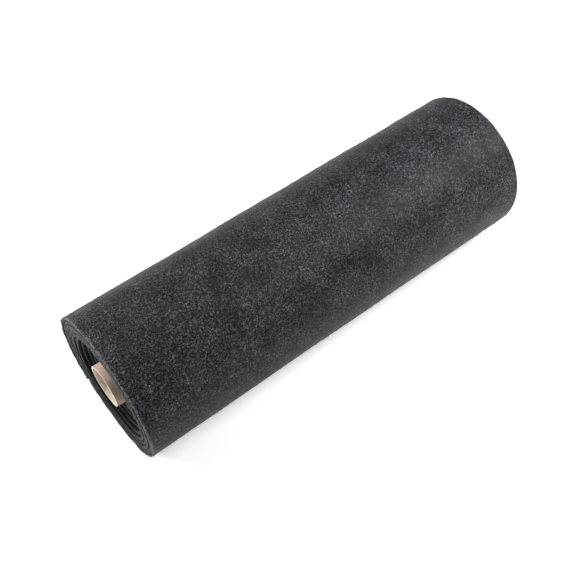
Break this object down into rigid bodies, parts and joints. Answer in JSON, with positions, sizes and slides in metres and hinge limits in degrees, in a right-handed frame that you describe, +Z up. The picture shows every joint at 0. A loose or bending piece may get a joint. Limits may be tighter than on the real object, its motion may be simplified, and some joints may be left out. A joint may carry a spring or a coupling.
{
  "type": "roll of felt on a cardboard tube",
  "caption": "Thick charcoal felt wound round an open cardboard tube and lying on its side, with its free end low down at the back.",
  "frame": {"origin": "on the floor, under the middle of the roll's box", "axes": "+X along the roll, from the dished end that shows the tube to the other end; +Z up"},
  "size_m": [0.462, 0.146, 0.1424],
  "materials": {
    "felt": "dense charcoal felt flecked with paler fibres, with no shine",
    "cardboard": "smooth brown spiral-wound board with a paler cut rim"
  },
  "bodies": {
    "root": {"felt": "felt", "core_tube": "cardboard"}
  },
  "joints": []
}
